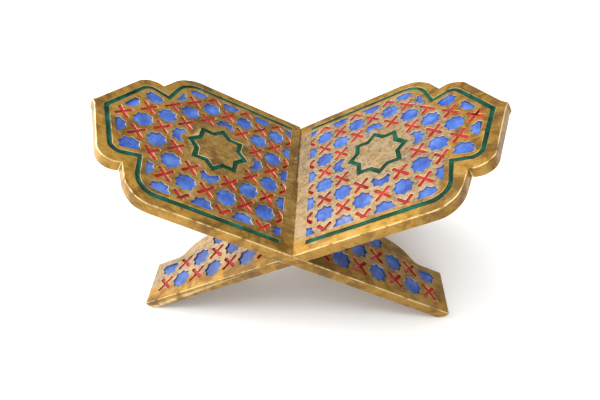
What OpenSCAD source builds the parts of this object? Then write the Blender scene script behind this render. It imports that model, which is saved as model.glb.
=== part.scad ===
// Two-board quran stand. Each flat board is one wing and the opposite leg. The boards cross at a
// cross-halving joint: each is slotted from one long edge to the middle of its width, and they
// slide together along the spine. The faces are carved, and the carving is painted.
//
// Frame: +X to the right wing, +Y to the back, +Z up. Origin under the crossing, on the surface
// that the feet stand on, at the middle of the width.
// Each board is drawn flat first: s runs along it from the crossing to the wing's point, y across
// it, and z up from the middle of its thickness. Its own slot is in its -y half.

/* [Boards] */
// Width of each board, along the spine
board_w = 203; // [200:1:206]
// Thickness of each board
board_t = 12.5; // [11:0.5:14]
// Slope of each board from the level
slope = 28; // [26:0.5:32]
// Length of the leg, from the crossing to the end of the foot
leg_len = 175; // [172:1:185]
// Radius of the foot's lower corner
foot_r = 7; // [5:0.5:8]
// Depth of the flat that each foot stands on
foot_flat = 0.4; // [0.2:0.1:0.6]

/* [Wing outline] */
// Distance from the crossing to the start of the shoulder's curve
shoulder_s = 137; // [135:1:139]
// Radius of the shoulder
shoulder_r = 35; // [33:1:36]
// Distance from the crossing to the cusp
cusp_s = 176; // [175:1:178]
// Depth of the cusp from the long edge
cusp_d = 35; // [34:1:36]
// Radius of the lobe beyond the cusp
lobe_r = 20; // [19:0.5:21]
// Radius of the hollow curve that ends in the point
flare_r = 28; // [20:1:34]

/* [Foot arch] */
// Width of each foot
foot_w = 50; // [48:1:52]
// Radius of the pointed head of the arch
arch_r = 36; // [35:1:38]

/* [Halving joint] */
// Clearance on the faces that meet in the slots
slot_fit = 0.2; // [0.1:0.05:0.4]
// Open gap between the edge of the left wing's slot and the face beside it
seam_gap = 1.8; // [0.5:0.1:2.5]

/* [Carving] */
// Depth of the star recesses
star_depth = 2.2; // [1.5:0.1:3]
// Depth of the cross gouges
cross_depth = 1.8; // [1.5:0.1:3]
// Depth of the green lines
line_depth = 1.6; // [1:0.1:2.5]
// Thickness of the paint on the floor of each recess
paint_t = 0.4; // [0.2:0.1:0.6]
// Spacing of the pattern, from a star to the cross beside it
pitch = 20.3; // [20:0.1:20.6]
// Spacing of the pattern on the legs
leg_pitch = 20.8; // [20.4:0.1:21]
// Radius to a small star's points
star_r = 10.8; // [10:0.1:11]
// Radius to a small star's notches
star_notch_r = 8.6; // [8:0.1:8.8]
// Distance from a cross's middle to the end of each arm, along s and along y
cross_arm = 5.9; // [5.4:0.1:6.1]
// Half the width of a cross's arm at its end
cross_half = 2; // [1.7:0.1:2.2]
// Half the width of a cross's arm where the arms meet
cross_waist = 1.5; // [1.2:0.1:1.7]
// Half the side of the two squares that make the medallion
medallion_half = 24; // [23:0.1:25]
// Width of the medallion's line
medallion_line = 5.3; // [4.5:0.1:5.6]
// Width of the border line
border_line = 4.7; // [4.2:0.1:5]

/* [Hidden] */

gold = "#b98f35";
old_gold = "#a87a2c";
blue = "#4468d2";
red = "#c4261f";
green = "#1d5b45";

half_w = board_w / 2;
face = board_t / 2;                  // the carved face, above the middle of the board
over = 1;                            // how far a cutter runs past what it cuts
far = 400;                           // longer than the board

// wing outline: lean is the angle between the point's edge and the line across the board
lean = 24;
flare_lean = 45;                     // the same angle at the end of the point
shoulder_c = [shoulder_s, shoulder_r - half_w];
cusp = [cusp_s, cusp_d - half_w];
lobe_c = cusp + [8.8, 18];           // the lobe's centre, from the cusp

// border line
line_inset = 12;                     // from the board's edge to the middle of the line
line_start = 17;                     // the lines and the pattern start this far from the crossing
line_cusp = cusp + [-11.4, 17];
line_lobe_r = 12;
line_lobe_y = -42.4;                 // the line's lobe is centred this far from the middle line
field_inset = 6.7;                   // from the middle of the line to the pattern

// pattern on the wing: columns count from the medallion, rows from the middle line
medallion_s = 97;
medallion_margin = 7;                // plain wood kept around the medallion
wing_first = -4;
wing_last = [5, 5, 4, 3, 2];         // last column of the middle row, the next row, and so on

// pattern on the leg: columns count from its middle star towards the foot
leg_s = 91.5;
leg_first = -3;
leg_last = [-2, -2, 0, 3, 3];
leg_start = 20;                      // the pattern starts this far from the crossing
leg_margin = 6.5;                    // plain edge along the leg's long edge
arch_margin = 7;                     // plain wood kept along the arch

// arch between the feet: foot corner, swell and head, as centres and radii
corner_r = 12;
corner_c = [27 - leg_len, foot_w + corner_r - half_w];
swell_r = 60.8;
swell_c = corner_c + (swell_r + corner_r) * [cos(45), -sin(45)];
head_c = [swell_c[0], swell_c[1] + swell_r + arch_r];

// height of the crossing above the floor: the foot's round corner, less its flat, is at Z = 0
cross_z = (leg_len - foot_r) * sin(slope) - (foot_r - face) * cos(slope) + foot_r - foot_flat;

function arc(c, r, a0, a1, steps = 10) =
    [for (i = [0:steps]) let (a = a0 + (a1 - a0) * i / steps) c + r * [cos(a), sin(a)]];
function backwards(pts) = [for (i = [len(pts) - 1:-1:0]) pts[i]];
function mirrored(pts) = [for (p = pts) [p[0], -p[1]]];
function but_last(pts) = [for (i = [0:len(pts) - 2]) pts[i]];
// an outline from its front half, whose last point is on the middle line
function whole(half) = concat(half, backwards(mirrored(but_last(half))));
// direction from c at which a line from p touches the circle; side is 1 or -1
function touch(p, c, r, side) =
    let (d = p - c) atan2(d[1], d[0]) + side * acos(min(1, r / norm(d)));
// where two lines meet again when both move inwards by d; a and b are their inward normals
function mitre(p, a, b, d) = p + d * (a + b) / (1 + a * b);

// ---- outlines, drawn as front halves ----

function wing_outline() =
    let (
        top = touch(cusp, shoulder_c, shoulder_r, -1),
        lobe = arc(lobe_c, lobe_r, atan2((cusp - lobe_c)[1], (cusp - lobe_c)[0]), -lean),
        last = lobe[len(lobe) - 1],
        rise = flare_r * (sin(flare_lean) - sin(lean)),
        start = last + (-rise - last[1]) * [tan(lean), 1]
    )
    concat(
        arc(shoulder_c, shoulder_r, -90, top),
        [cusp],
        lobe,
        // the hollow curve turns from lean to flare_lean and ends on the middle line
        [for (i = [0:5]) let (a = lean + (flare_lean - lean) * i / 5)
            start + flare_r * [cos(lean) - cos(a), sin(a) - sin(lean)]]
    );

// the border line's middle moved inwards by d; its lobe touches the line parallel to the edge
function line_path(d) =
    let (
        n_point = [-cos(lean), sin(lean)],
        edge_p = lobe_c - lobe_r * n_point,
        lobe_p = edge_p + (line_inset + line_lobe_r) * n_point,
        c = lobe_p + (line_lobe_y - lobe_p[1]) * [sin(lean), cos(lean)] / cos(lean),
        a_in = touch(line_cusp, shoulder_c, shoulder_r - line_inset, -1),
        a_out = touch(line_cusp, c, line_lobe_r, 1),
        n_in = -[cos(a_in), sin(a_in)],
        n_out = -[cos(a_out), sin(a_out)],
        edge_in = edge_p + (line_inset + d) * n_point
    )
    concat(
        [[line_start, line_inset + d - half_w]],
        arc(shoulder_c, shoulder_r - line_inset - d, -90, a_in),
        [mitre(line_cusp, n_in, n_out, d)],
        arc(c, line_lobe_r - d, a_out, -lean),
        [[edge_in[0] - edge_in[1] * tan(lean), 0]]
    );

// half of the arch between the feet, moved into the wood by d
function arch_path(d) =
    concat(
        [[-leg_len - over, foot_w - half_w - d]],
        arc(corner_c, corner_r + d, -90, -45),
        arc(swell_c, swell_r - d, 135, 90),
        arc(head_c, arch_r + d, -90, -asin(head_c[1] / (arch_r + d)))
    );

function star_points(c, r, notch_r) =
    [for (i = [0:15]) c + (i % 2 == 0 ? r : notch_r) * [cos(22.5 * i), sin(22.5 * i)]];
// the medallion: an eight-pointed star made by two squares of half side a
function medallion_points(a) = star_points([medallion_s, 0], a * sqrt(2), a / cos(22.5));

function is_star(i, j) = (i + j) % 2 == 0;
function near_medallion(i, j) = abs(i) <= 1 && abs(j) <= 1;

wing_cells = [for (j = [-4:4], i = [wing_first:wing_last[abs(j)]]) if (!near_medallion(i, j)) [i, j]];
leg_cells = [for (j = [-4:4], i = [leg_first:leg_last[abs(j)]]) [i, j]];

// ---- flat carving, as solids that stand from z = 0 up to z = h ----

module star(c, h) {
    linear_extrude(h) polygon(star_points(c, star_r, star_notch_r));
}

// each bar of a cross is narrow in the middle, and widens to its round ends
module cross(c, h) {
    arm = cross_arm * sqrt(2);
    bar = concat(arc([arm, 0], cross_half, -90, 90, 8), [[0, cross_waist]],
                 arc([-arm, 0], cross_half, 90, 270, 8), [[0, -cross_waist]]);
    translate([c[0], c[1], 0]) for (turn = [45, -45]) rotate([0, 0, turn]) linear_extrude(h) polygon(bar);
}

// what the pattern is cut to: inside the border line, and clear of the medallion
module wing_field(h) {
    difference() {
        linear_extrude(h) polygon(whole(line_path(field_inset)));
        translate([0, 0, -over]) linear_extrude(h + 2 * over) medallion_surround();
    }
}

// the medallion's two squares with their margin, as round-cornered squares
module medallion_surround() {
    corner_reach = medallion_half * sqrt(2);
    translate([medallion_s, 0]) for (turn = [0, 45]) rotate(turn) polygon([
        for (k = [0:3], p = arc(corner_reach * [cos(45 + 90 * k), sin(45 + 90 * k)],
                                medallion_margin, 90 * k, 90 * k + 90, 6)) p
    ]);
}

module leg_field(h) {
    difference() {
        translate([-leg_len - over, leg_margin - half_w, 0])
            cube([leg_len + over - leg_start, board_w - 2 * leg_margin, h]);
        translate([0, 0, -over]) linear_extrude(h + 2 * over) polygon(whole(arch_path(arch_margin)));
    }
}

module wing_star_cuts(h) {
    intersection() {
        for (p = wing_cells) if (is_star(p[0], p[1])) star([medallion_s, 0] + pitch * p, h);
        wing_field(h);
    }
}

module wing_cross_cuts(h) {
    intersection() {
        for (p = wing_cells) if (!is_star(p[0], p[1])) cross([medallion_s, 0] + pitch * p, h);
        wing_field(h);
    }
}

module leg_star_cuts(h) {
    intersection() {
        for (p = leg_cells) if (is_star(p[0], p[1])) star([-leg_s - leg_pitch * p[0], leg_pitch * p[1]], h);
        leg_field(h);
    }
}

module leg_cross_cuts(h) {
    intersection() {
        for (p = leg_cells) if (!is_star(p[0], p[1])) cross([-leg_s - leg_pitch * p[0], leg_pitch * p[1]], h);
        leg_field(h);
    }
}

module border_cut(h) {
    outer = whole(line_path(-border_line / 2));
    inner = whole(line_path(border_line / 2));
    linear_extrude(h) polygon(concat(outer, backwards(inner)));
}

module medallion_cut(h) {
    difference() {
        linear_extrude(h) polygon(medallion_points(medallion_half));
        translate([0, 0, -over]) linear_extrude(h + 2 * over)
            polygon(medallion_points(medallion_half - medallion_line));
    }
}

// ---- one flat board ----

function whole_arch() = mirrored(whole(arch_path(0)));

// the board's edge seen from the front, with the foot's lower corner rounded
module side_profile() {
    polygon(concat(
        [[far, -face], [far, face], [-leg_len, face]],
        arc([foot_r - leg_len, foot_r - face], foot_r, 180, 270)
    ));
}

// the other board, with gap above it on its carved side, as the slot that it needs
module slot(gap) {
    rotate([0, 2 * slope - 180, 0]) translate([-far, -board_w, -face - gap])
        cube([2 * far, board_w + slot_fit, board_t + gap + slot_fit]);
}

module blank() {
    intersection() {
        translate([0, 0, -face]) linear_extrude(board_t)
            polygon(concat(
                whole(wing_outline()),
                [[-leg_len - over, half_w]],
                whole_arch(),
                [[-leg_len - over, -half_w]]
            ));
        translate([0, board_w, 0]) rotate([90, 0, 0]) linear_extrude(2 * board_w) side_profile();
    }
}

module carved_board(gap) {
    difference() {
        blank();
        slot(gap);
        translate([0, 0, face - star_depth]) wing_star_cuts(star_depth + over);
        translate([0, 0, face - star_depth]) leg_star_cuts(star_depth + over);
        translate([0, 0, face - cross_depth]) wing_cross_cuts(cross_depth + over);
        translate([0, 0, face - cross_depth]) leg_cross_cuts(cross_depth + over);
        translate([0, 0, face - line_depth]) border_cut(line_depth + over);
        translate([0, 0, face - line_depth]) medallion_cut(line_depth + over);
    }
}

// ---- places in the stand ----

module as_right_wing() {
    translate([0, 0, cross_z]) rotate([0, -slope, 0]) children();
}

module as_left_wing() {
    rotate([0, 0, 180]) as_right_wing() children();
}

// what lies below the surface that the feet stand on
module floor_cut() {
    translate([-far, -board_w, -far]) cube([2 * far, 2 * board_w, far]);
}

module left_wing_board() {
    color(gold) difference() {
        as_left_wing() carved_board(seam_gap);
        floor_cut();
    }
}

module right_wing_board() {
    color(old_gold) difference() {
        as_right_wing() carved_board(slot_fit);
        floor_cut();
    }
}

// the paint lies on the floor of each recess
module wing_stars() {
    color(blue) translate([0, 0, face - star_depth]) wing_star_cuts(paint_t);
}

module wing_crosses() {
    color(red) translate([0, 0, face - cross_depth]) wing_cross_cuts(paint_t);
}

module wing_border() {
    color(green) translate([0, 0, face - line_depth]) border_cut(paint_t);
}

module wing_medallion() {
    color(green) translate([0, 0, face - line_depth]) medallion_cut(paint_t);
}

module leg_stars() {
    color(blue) translate([0, 0, face - star_depth]) leg_star_cuts(paint_t);
}

module leg_crosses() {
    color(red) translate([0, 0, face - cross_depth]) leg_cross_cuts(paint_t);
}

left_wing_board();
as_left_wing() wing_stars();  // left_wing_stars
as_left_wing() wing_crosses();  // left_wing_crosses
as_left_wing() wing_border();  // left_wing_border
as_left_wing() wing_medallion();  // left_wing_medallion
as_left_wing() leg_stars();  // right_leg_stars
as_left_wing() leg_crosses();  // right_leg_crosses
right_wing_board();
as_right_wing() wing_stars();  // right_wing_stars
as_right_wing() wing_crosses();  // right_wing_crosses
as_right_wing() wing_border();  // right_wing_border
as_right_wing() wing_medallion();  // right_wing_medallion
as_right_wing() leg_stars();  // left_leg_stars
as_right_wing() leg_crosses();  // left_leg_crosses
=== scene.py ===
"""The quran stand's looks: two carved, gilded boards with painted recesses, on a pale floor."""

from math import cos, radians, sin

import bpy
from mathutils import Matrix, Vector


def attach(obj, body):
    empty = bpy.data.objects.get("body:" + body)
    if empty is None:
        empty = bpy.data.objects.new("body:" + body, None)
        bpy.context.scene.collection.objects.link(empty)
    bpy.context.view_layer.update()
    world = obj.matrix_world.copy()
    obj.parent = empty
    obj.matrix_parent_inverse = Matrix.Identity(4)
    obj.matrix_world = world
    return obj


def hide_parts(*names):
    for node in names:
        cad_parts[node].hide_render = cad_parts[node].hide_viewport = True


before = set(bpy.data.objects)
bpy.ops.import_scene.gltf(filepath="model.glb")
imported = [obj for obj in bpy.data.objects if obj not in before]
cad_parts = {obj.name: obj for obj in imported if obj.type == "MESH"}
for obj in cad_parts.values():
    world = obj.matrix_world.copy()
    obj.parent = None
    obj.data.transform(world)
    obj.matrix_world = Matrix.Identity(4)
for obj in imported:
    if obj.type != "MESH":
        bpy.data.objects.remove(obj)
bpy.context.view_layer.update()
bpy.ops.object.select_all(action="DESELECT")

MM = 0.001

# ---- the two boards ----
# Each board's carved face looks up and inwards. "along" points up the board to its wing's point.

SLOPE = radians(28)
CROSSING = Vector((0, 0, 84.81 * MM))     # the middle of the boards, where they cross
THICKNESS = 12.5 * MM
FACE = THICKNESS / 2                      # the carved face, above the middle of the board

SIDES = {
    "left": {"body": "left_board", "turn": 1, "along": Vector((-cos(SLOPE), 0, sin(SLOPE)))},
    "right": {"body": "right_board", "turn": -1, "along": Vector((cos(SLOPE), 0, sin(SLOPE)))},
}
for side in SIDES.values():
    side["up"] = Vector((side["turn"] * sin(SLOPE), 0, cos(SLOPE)))

# ---- handwork and wear ----

EDGE_ROUND = 1.1 * MM                     # worn outer edges
FLOOR_EDGE_ROUND = 0.5 * MM               # edges at the slots and under the feet
RIM_ROUND = 0.3 * MM                      # worn rims of the recesses
PAINT_LINE = 0.35 * MM                    # bare gold above the paint, on the walls of a recess
COAT = 0.4 * MM                           # paint on the recess floors
WANDER = 1.5 * MM                         # scale of the carver's small errors
WANDER_SIZE = 13 * MM                     # length over which they change
JOINT_CLEAR = 20 * MM                     # the halving joint is cut true, this far from the crossing
SHARP = radians(25)                       # edges that turn by less aren't rounded
LOBE_OFFSET = 135 * MM                    # where the wing's pointed lobe starts to count as border
LOBE_SLANT = 0.42                         # how much sooner it does so away from the middle line
WALL_LEAN = 0.7                           # a face that looks less than this along "up" is a wall
NEARLY = 0.05 * MM                        # slack for what lies in the carved face


# ---- shaping helpers ----

def only(piece):
    """Makes a piece the one selected and active object."""
    bpy.ops.object.select_all(action="DESELECT")
    piece.select_set(True)
    bpy.context.view_layer.objects.active = piece


def apply_all(piece):
    only(piece)
    for modifier in list(piece.modifiers):
        bpy.ops.object.modifier_apply(modifier=modifier.name)


def copy_of(node, name):
    """A merged copy of a CAD node's mesh, with each flat area in few faces."""
    piece = bpy.data.objects.new(name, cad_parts[node].data.copy())
    bpy.context.scene.collection.objects.link(piece)
    piece.data.materials.clear()
    only(piece)
    bpy.ops.object.mode_set(mode="EDIT")
    bpy.ops.mesh.select_all(action="SELECT")
    bpy.ops.mesh.remove_doubles(threshold=0.004 * MM)
    bpy.ops.mesh.dissolve_limited(angle_limit=radians(0.6))
    bpy.ops.object.mode_set(mode="OBJECT")
    return piece


def cloud_texture(name, size):
    texture = bpy.data.textures.new(name, "CLOUDS")
    texture.noise_scale = size
    texture.noise_depth = 1
    return texture


ALONG_ERROR = cloud_texture("error_along_board", WANDER_SIZE)
ACROSS_ERROR = cloud_texture("error_across_board", 0.8 * WANDER_SIZE)


def hand_cut(piece, side):
    """The carver's small errors, in the board's plane, so that paint and recess stay together."""
    group = piece.vertex_groups.new(name="clear_of_joint")
    for vertex in piece.data.vertices:
        from_crossing = abs((vertex.co - CROSSING).dot(side["along"]))
        share = min(1, max(0, from_crossing / JOINT_CLEAR - 1))
        group.add([vertex.index], share, "REPLACE")
    pushes = (("X", side["along"].x, ALONG_ERROR), ("Z", side["along"].z, ALONG_ERROR),
              ("Y", 1, ACROSS_ERROR))
    for axis, share, texture in pushes:
        push = piece.modifiers.new("hand_" + axis, "DISPLACE")
        push.direction = axis
        push.texture = texture
        push.texture_coords = "LOCAL"
        push.mid_level = 0.5
        push.strength = share * WANDER
        push.vertex_group = group.name
    apply_all(piece)
    piece.vertex_groups.clear()


def finish_piece(piece, node, side, material):
    piece.data.materials.append(material)
    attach(piece, side["body"])
    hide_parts(node)


# ---- boards ----

def drop(height, face):
    """How far a face reaches down from its highest corner."""
    corners = [height[i] for i in face.vertices]
    return max(corners) - min(corners)


def weigh_edges(piece, side):
    """Marks how far each edge is rounded: the outline in full, the rims of the recesses less."""
    mesh = piece.data
    height = [(v.co - CROSSING).dot(side["up"]) for v in mesh.vertices]
    along = [(v.co - CROSSING).dot(side["along"]) for v in mesh.vertices]
    touching = {}
    for face in mesh.polygons:
        for key in face.edge_keys:
            touching.setdefault(key, []).append(face)
    weights = mesh.attributes.new("bevel_weight_edge", "FLOAT", "EDGE")
    for edge in mesh.edges:
        faces = touching.get(edge.key, [])
        if len(faces) != 2 or faces[0].normal.dot(faces[1].normal) > cos(SHARP):
            continue
        walls = [f for f in faces if abs(f.normal.dot(side["up"])) < WALL_LEAN]
        if not walls:
            continue
        shortest_wall = min(drop(height, f) for f in walls)
        near_joint = all(abs(along[i]) < JOINT_CLEAR for i in edge.vertices)
        if shortest_wall > THICKNESS / 2:
            rounding = FLOOR_EDGE_ROUND if near_joint else EDGE_ROUND
        elif all(height[i] > FACE - NEARLY for i in edge.vertices):
            rounding = RIM_ROUND
        else:
            continue
        weights.data[edge.index].value = rounding / EDGE_ROUND


def mark_wear_and_highlight(piece, side):
    """Marks the rounded edges and rims, where the gold is rubbed through and where a painted highlight
    goes.
    """
    wear_and_highlight = piece.data.attributes.new("edge_wear_and_highlight", "FLOAT", "POINT")
    for vertex in piece.data.vertices:
        tilt = abs(vertex.normal.dot(side["up"]))
        wear_and_highlight.data[vertex.index].value = 1 if 0.2 < tilt < 0.94 else 0


def gilded_board(node, side, material):
    """The carved blank, hand cut, with its edges and rims worn round."""
    piece = copy_of(node, node + "_gilded")
    weigh_edges(piece, side)
    hand_cut(piece, side)
    bevel = piece.modifiers.new("worn_edges", "BEVEL")
    bevel.limit_method = "WEIGHT"
    bevel.width = EDGE_ROUND
    bevel.segments = 3
    bevel.use_clamp_overlap = False
    apply_all(piece)
    mark_wear_and_highlight(piece, side)
    only(piece)
    bpy.ops.object.shade_smooth_by_angle(angle=radians(35))
    normals = piece.modifiers.new("true_faces", "WEIGHTED_NORMAL")
    normals.keep_sharp = True
    apply_all(piece)
    finish_piece(piece, node, side, material)


# ---- paint in the recesses ----

BAND_SHARES = (1.0, 0.7, 0.45, 0.2)       # how wide the rings can be in narrower and narrower recesses
USED_BREADTH = 0.62                       # share of a recess's breadth that the rings may take


def carved_islands(mesh, up):
    """The faces that look out of each recess, in one list for each, and the faces at each edge."""
    looking_out = {f.index for f in mesh.polygons if f.normal.dot(up) > 0.99}
    by_edge = {}
    for index in looking_out:
        for key in mesh.polygons[index].edge_keys:
            by_edge.setdefault(key, []).append(index)
    islands = []
    while looking_out:
        front = [looking_out.pop()]
        island = []
        while front:
            index = front.pop()
            island.append(index)
            for key in mesh.polygons[index].edge_keys:
                for other in by_edge[key]:
                    if other in looking_out:
                        looking_out.remove(other)
                        front.append(other)
        islands.append(island)
    return islands, by_edge


def breadth(mesh, island, by_edge):
    """Twice the area over the outline's length: about the radius of what fits in a recess."""
    area = sum(mesh.polygons[i].area for i in island)
    points = mesh.vertices
    outline = sum((points[key[0]].co - points[key[1]].co).length
                  for i in island for key in mesh.polygons[i].edge_keys if len(by_edge[key]) == 1)
    return 2 * area / outline


def painted_recesses(node, side, material, depth, bands):
    """Paint on the walls and floor of each recess, with a soft turn from wall to floor.

    depth is the recess's depth. bands are the widths and falls of the rings that lead from the
    rim of the paint to its floor. In a narrow recess they are narrower.
    """
    piece = copy_of(node, node + "_paint")
    mesh = piece.data
    total = sum(width for width, fall in bands)
    islands, by_edge = carved_islands(mesh, side["up"])
    corners = {share: set() for share in BAND_SHARES}
    for island in islands:
        room = USED_BREADTH * breadth(mesh, island, by_edge) / total
        share = max((s for s in BAND_SHARES if s <= room), default=min(BAND_SHARES))
        for index in island:
            corners[share].update(mesh.polygons[index].vertices)
    groups = {}
    for share, points in corners.items():
        if points:
            groups[share] = piece.vertex_groups.new(name="recess_%d" % round(100 * share))
            groups[share].add(list(points), 1, "REPLACE")
    only(piece)
    bpy.ops.object.mode_set(mode="EDIT")
    for share, group in groups.items():
        bpy.ops.mesh.select_mode(type="VERT")
        bpy.ops.mesh.select_all(action="DESELECT")
        piece.vertex_groups.active_index = group.index
        bpy.ops.object.vertex_group_select()
        bpy.ops.mesh.select_mode(type="FACE")
        bpy.ops.transform.translate(value=side["up"] * (depth - COAT - PAINT_LINE))
        for width, fall in bands:
            bpy.ops.mesh.inset(use_boundary=True, use_even_offset=True,
                               thickness=width * share, depth=-fall)
    bpy.ops.object.mode_set(mode="OBJECT")
    piece.vertex_groups.clear()
    hand_cut(piece, side)
    only(piece)
    bpy.ops.object.shade_smooth_by_angle(angle=radians(50))
    finish_piece(piece, node, side, material)


# ---- materials ----

class Finish:
    """A short way to write a finish's node tree."""

    def __init__(self, name, turn=0.0):
        self.material = bpy.data.materials.new(name)
        self.material.use_nodes = True
        self.tree = self.material.node_tree
        self.shader = self.tree.nodes["Principled BSDF"]
        self.turn = turn

    def put(self, value, socket):
        if isinstance(value, bpy.types.NodeSocket):
            self.tree.links.new(value, socket)
        elif socket.type == "RGBA":
            socket.default_value = (*value, 1)
        else:
            socket.default_value = value

    def place(self, stretch=(1, 1, 1)):
        """The board's own directions: x along it, y across it, z out of its face."""
        coordinates = self.tree.nodes.new("ShaderNodeTexCoord")
        node = self.tree.nodes.new("ShaderNodeMapping")
        node.vector_type = "TEXTURE"
        node.inputs["Rotation"].default_value = (0, self.turn, 0)
        node.inputs["Scale"].default_value = stretch
        self.put(coordinates.outputs["Object"], node.inputs["Vector"])
        return node.outputs["Vector"]

    def noise(self, place, size, detail=4, rough=0.55, distort=0.0):
        """Cloudy noise whose patches are about size across."""
        node = self.tree.nodes.new("ShaderNodeTexNoise")
        self.put(place, node.inputs["Vector"])
        node.inputs["Scale"].default_value = 1 / size
        node.inputs["Detail"].default_value = detail
        node.inputs["Roughness"].default_value = rough
        node.inputs["Distortion"].default_value = distort
        return node.outputs["Fac"]

    def ramp(self, value, *stops):
        """Colours at places from 0 to 1."""
        node = self.tree.nodes.new("ShaderNodeValToRGB")
        self.put(value, node.inputs["Fac"])
        elements = node.color_ramp.elements
        while len(elements) < len(stops):
            elements.new(0.5)
        for element, (position, colour) in zip(elements, stops):
            element.position = position
            element.color = (*colour, 1)
        return node.outputs["Color"]

    def mask(self, value, start, end, amount=1.0):
        """0 up to start, and amount from end on."""
        node = self.tree.nodes.new("ShaderNodeMapRange")
        node.interpolation_type = "SMOOTHSTEP"
        self.put(value, node.inputs["Value"])
        node.inputs["From Min"].default_value = start
        node.inputs["From Max"].default_value = end
        node.inputs["To Max"].default_value = amount
        return node.outputs["Result"]

    def mix(self, amount, under, over):
        node = self.tree.nodes.new("ShaderNodeMix")
        node.data_type = "RGBA"
        self.put(amount, node.inputs["Factor"])
        self.put(under, node.inputs["A"])
        self.put(over, node.inputs["B"])
        return node.outputs["Result"]

    def math(self, kind, first, second=0.0):
        node = self.tree.nodes.new("ShaderNodeMath")
        node.operation = kind
        self.put(first, node.inputs[0])
        self.put(second, node.inputs[1])
        return node.outputs["Value"]

    def times(self, first, second):
        return self.math("MULTIPLY", first, second)

    def plus(self, first, second):
        return self.math("ADD", first, second)

    def from_middle(self, place):
        """Distance from the board's middle line. The wing's pointed lobe counts as far from it."""
        node = self.tree.nodes.new("ShaderNodeSeparateXYZ")
        self.put(place, node.inputs["Vector"])
        aside = self.math("ABSOLUTE", node.outputs["Y"])
        outward = self.math("ABSOLUTE", node.outputs["X"])
        to_point = self.plus(outward, self.times(aside, LOBE_SLANT))
        return self.math("MAXIMUM", aside, self.math("SUBTRACT", to_point, LOBE_OFFSET))

    def edge_wear_and_highlight(self):
        node = self.tree.nodes.new("ShaderNodeAttribute")
        node.attribute_name = "edge_wear_and_highlight"
        return node.outputs["Fac"]

    def openness(self, reach):
        """1 in the open, less where walls stand within reach."""
        node = self.tree.nodes.new("ShaderNodeAmbientOcclusion")
        node.samples = 12
        node.only_local = True
        node.inputs["Distance"].default_value = reach
        return node.outputs["AO"]

    def bump(self, height, distance, strength, under=None):
        node = self.tree.nodes.new("ShaderNodeBump")
        node.inputs["Distance"].default_value = distance
        node.inputs["Strength"].default_value = strength
        self.put(height, node.inputs["Height"])
        if under is not None:
            self.put(under, node.inputs["Normal"])
        return node.outputs["Normal"]

    def done(self, colour, rough, normal, metal=0.0, coat=0.0):
        self.put(colour, self.shader.inputs["Base Color"])
        self.put(rough, self.shader.inputs["Roughness"])
        self.put(metal, self.shader.inputs["Metallic"])
        self.shader.inputs["Coat Weight"].default_value = coat
        self.shader.inputs["Coat Roughness"].default_value = 0.2
        self.put(normal, self.shader.inputs["Normal"])
        return self.material


UMBER = (0.052, 0.025, 0.005)
BROWN = (0.122, 0.056, 0.007)
OLIVE = (0.165, 0.088, 0.014)
ANTIQUE_GOLD = (0.275, 0.146, 0.020)
RICH_GOLD = (0.440, 0.232, 0.026)
PALE_GOLD = (0.400, 0.255, 0.072)
DUST = (0.300, 0.240, 0.162)
PALE_DUST_AND_SHEEN = (0.430, 0.352, 0.252)
# pale cream: bare gold, and bright enough to be a painted highlight too
BARE_EDGE_AND_HIGHLIGHT = (0.850, 0.660, 0.330)


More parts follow.
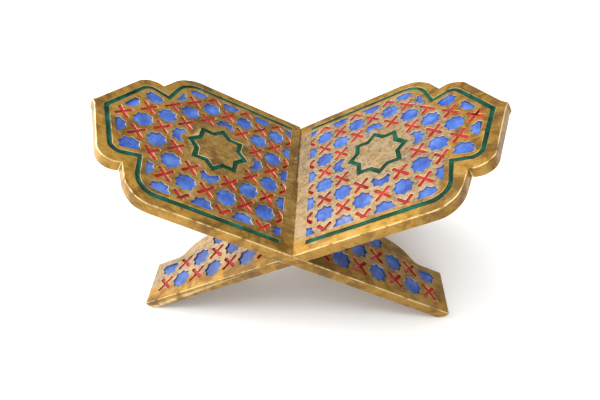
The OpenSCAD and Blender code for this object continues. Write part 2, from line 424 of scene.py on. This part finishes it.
def antique_gilt(name, turn, dust_and_sheen_level):
    """Gold paint on carved wood: mottled, with painted shade in the hollows, rubbed pale on the edges
    with a painted highlight there, and paler with painted sheen on one board.
    """
    f = Finish(name, turn)
    flat = f.place()
    grain = f.place(stretch=(7, 1, 1))
    cloud = f.noise(flat, 34 * MM, 5, 0.62, 0.8)
    patch = f.noise(flat, 11 * MM, 5, 0.62, 0.5)
    fleck = f.noise(flat, 3.2 * MM, 4, 0.65)
    streak = f.noise(grain, 2.6 * MM, 4, 0.6)
    speck = f.noise(flat, 0.9 * MM, 2, 0.6)

    tone = f.plus(f.times(cloud, 0.5), f.times(patch, 0.5))
    gold = f.ramp(tone, (0.34, OLIVE), (0.50, ANTIQUE_GOLD), (0.66, PALE_GOLD))
    gold = f.mix(f.mask(fleck, 0.50, 0.66, 0.50), gold, RICH_GOLD)
    gold = f.mix(f.mask(fleck, 0.50, 0.32, 0.42), gold, BROWN)
    border = f.mask(f.from_middle(flat), 80 * MM, 88 * MM)
    brushed_gold = f.times(border, f.mask(streak, 0.40, 0.54, 0.75))
    gold = f.mix(brushed_gold, gold, RICH_GOLD)
    stain = f.times(f.mask(tone, 0.54, 0.40, 0.60), f.plus(0.25, f.times(border, 0.75)))
    gold = f.mix(stain, gold, BROWN)
    gold = f.mix(f.mask(cloud, 0.52, 0.36, 0.62), gold, BROWN)
    gold = f.mix(f.mask(streak, 0.50, 0.70, 0.50), gold, BROWN)
    gold = f.mix(f.mask(streak, 0.46, 0.32, 0.45), gold, PALE_GOLD)
    field = f.math("SUBTRACT", 1.0, border)
    # paler dust over the field; on the right board it is heavier and is partly painted sheen, where
    # that face is better lit
    field_dust_and_sheen = f.times(field, f.mask(fleck, 0.26, 0.60, 0.05 + 7 * dust_and_sheen_level))
    gold = f.mix(field_dust_and_sheen, gold, PALE_DUST_AND_SHEEN)
    # dust patches, a little more of them on the right board as painted sheen
    dusty_and_sheen = f.times(f.mask(patch, 0.56 - dust_and_sheen_level, 0.70 - dust_and_sheen_level),
                    f.mask(fleck, 0.38, 0.58, 0.75))
    dusty_and_sheen = f.times(dusty_and_sheen, f.plus(0.25, f.times(field, 0.75)))
    gold = f.mix(dusty_and_sheen, gold, DUST)
    gold = f.mix(f.mask(speck, 0.56, 0.72, 0.22), gold, UMBER)
    # painted shade: umber darkening where walls stand near, in the recesses and where the boards cross
    painted_hollow_shade = f.mask(f.openness(3 * MM), 0.95, 0.50, 0.88)
    gold = f.mix(painted_hollow_shade, gold, UMBER)
    # bare gold rubbed through on edges and rims, and a painted highlight line along them
    worn_and_highlit = f.times(f.edge_wear_and_highlight(), f.mask(patch, 0.32, 0.54, 0.80))
    gold = f.mix(worn_and_highlit, gold, BARE_EDGE_AND_HIGHLIGHT)

    normal = f.bump(f.plus(cloud, patch), 0.8 * MM, 0.35)
    normal = f.bump(f.plus(fleck, streak), 0.20 * MM, 0.5, normal)
    normal = f.bump(speck, 0.08 * MM, 0.5, normal)
    rough = f.plus(f.times(fleck, 0.45), 0.16)
    metal = f.math("SUBTRACT", 0.72, f.times(dusty_and_sheen, 0.6))
    return f.done(gold, rough, normal, metal)


def brushed_paint(name, turn, tones, bare, gloss, coat):
    """Thick brushed paint in a recess, thin in places, so that the gold shows."""
    dark, body, light = tones
    f = Finish(name, turn)
    flat = f.place()
    brush = f.place(stretch=(1, 5, 1))
    pool = f.noise(flat, 14 * MM, 3, 0.55)
    stroke = f.noise(brush, 1.6 * MM, 4, 0.6)
    colour = f.ramp(pool, (0.34, dark), (0.50, body), (0.70, light))
    colour = f.mix(f.mask(stroke, 0.50, 0.70, 0.40), colour, light)
    colour = f.mix(f.mask(stroke, 0.46, 0.32, 0.35), colour, dark)
    thin = f.times(f.mask(f.noise(flat, 27 * MM, 2, 0.5), 0.68 - bare, 0.78 - bare),
                   f.mask(stroke, 0.36, 0.58, 0.60))
    colour = f.mix(thin, colour, PALE_GOLD)
    # painted shade: the paint turns darker where the recess walls stand near
    painted_corner_shade = f.mask(f.openness(2.2 * MM), 0.94, 0.42, 0.85)
    colour = f.mix(painted_corner_shade, colour, tuple(0.3 * part for part in dark))
    normal = f.bump(f.plus(stroke, pool), 0.22 * MM, 0.55)
    rough = f.plus(f.times(stroke, 0.25), 0.24)
    f.shader.inputs["Specular IOR Level"].default_value = gloss
    return f.done(colour, rough, normal, 0.0, coat)


# ---- the stand ----

# width and fall of each ring, from the wall of a recess to its floor
STAR_BANDS = ((0.30 * MM, 1.05 * MM), (0.35 * MM, 0.32 * MM), (0.80 * MM, 0.06 * MM))
CROSS_BANDS = ((0.40 * MM, 0.65 * MM), (0.45 * MM, 0.38 * MM))
LINE_BANDS = ((0.55 * MM, 0.50 * MM), (0.75 * MM, 0.34 * MM))

# dark, body and light tone of each paint
BLUE = ((0.018, 0.050, 0.25), (0.030, 0.092, 0.37), (0.085, 0.175, 0.49))
RED = ((0.20, 0.003, 0.002), (0.36, 0.007, 0.004), (0.48, 0.022, 0.010))
GREEN = ((0.001, 0.020, 0.008), (0.002, 0.046, 0.020), (0.008, 0.110, 0.072))

STAR_DEPTH = 2.2 * MM
CROSS_DEPTH = 1.8 * MM
LINE_DEPTH = 1.6 * MM

# the right board's gilt is paler: some real dust, the rest painted sheen and light on the better lit
# board
DUST_AND_SHEEN_LEVEL = {"left": 0.0, "right": 0.06}

for side_name, leg_name in (("left", "right"), ("right", "left")):
    side = SIDES[side_name]
    turn = SLOPE * side["turn"]
    wing = side_name + "_wing_"
    leg = leg_name + "_leg_"
    gilt = antique_gilt("antique_gilt_" + side_name, turn, DUST_AND_SHEEN_LEVEL[side_name])
    blue = brushed_paint("blue_paint_" + side_name, turn, BLUE, bare=0.02, gloss=0.30, coat=0.15)
    red = brushed_paint("red_paint_" + side_name, turn, RED, bare=-0.04, gloss=0.20, coat=0.10)
    green = brushed_paint("green_paint_" + side_name, turn, GREEN, bare=-0.06, gloss=0.06, coat=0.14)
    gilded_board(wing + "board", side, gilt)
    for part in (wing, leg):
        painted_recesses(part + "stars", side, blue, STAR_DEPTH, STAR_BANDS)
        painted_recesses(part + "crosses", side, red, CROSS_DEPTH, CROSS_BANDS)
    for line in ("border", "medallion"):
        painted_recesses(wing + line, side, green, LINE_DEPTH, LINE_BANDS)


# ---- camera, floor and light ----

def camera():
    place = Vector((0.0286, -0.3734, 0.4370))
    pitch = radians(37.5)
    heading = radians(-3.85)
    roll = radians(-1.54)
    forward = Vector((sin(heading) * cos(pitch), cos(heading) * cos(pitch), -sin(pitch)))
    level = Vector((cos(heading), -sin(heading), 0))
    rise = level.cross(forward)
    right = cos(roll) * level + sin(roll) * rise
    top = cos(roll) * rise - sin(roll) * level
    data = bpy.data.cameras.new("camera")
    data.lens = 27.71
    data.shift_y = -0.1
    obj = bpy.data.objects.new("camera", data)
    turned = Matrix((right, top, -forward)).transposed().to_4x4()
    obj.matrix_world = Matrix.Translation(place) @ turned
    bpy.context.scene.collection.objects.link(obj)
    bpy.context.scene.camera = obj


def floor():
    bpy.ops.mesh.primitive_plane_add(size=40)
    plane = bpy.context.object
    plane.name = "floor"
    f = Finish("pale_floor")
    f.shader.inputs["Base Color"].default_value = (0.97, 0.97, 0.97, 1)
    f.shader.inputs["Roughness"].default_value = 0.9
    plane.data.materials.append(f.material)


def soft_light(name, place, size, power):
    """A square light that faces the stand."""
    data = bpy.data.lights.new(name, "AREA")
    data.size = size
    data.energy = power
    obj = bpy.data.objects.new(name, data)
    place = Vector(place)
    facing = (Vector((0, 0, 0.1)) - place).to_track_quat("-Z", "Y").to_matrix().to_4x4()
    obj.matrix_world = Matrix.Translation(place) @ facing
    bpy.context.scene.collection.objects.link(obj)


def studio(brightness):
    """An even white all round."""
    world = bpy.data.worlds.new("studio")
    world.use_nodes = True
    background = world.node_tree.nodes["Background"]
    background.inputs["Color"].default_value = (1, 1, 1, 1)
    background.inputs["Strength"].default_value = brightness
    bpy.context.scene.world = world


camera()
floor()
soft_light("key", (-1.12, 0.40, 1.00), size=1.4, power=24.5)
soft_light("side", (-1.30, -0.10, 0.35), size=0.7, power=5)
soft_light("overhead", (0, 0.20, 1.90), size=1.8, power=27)
soft_light("front", (0.20, -1.60, 0.70), size=1.2, power=6)
studio(brightness=0.68)
bpy.context.scene.view_settings.view_transform = "Standard"
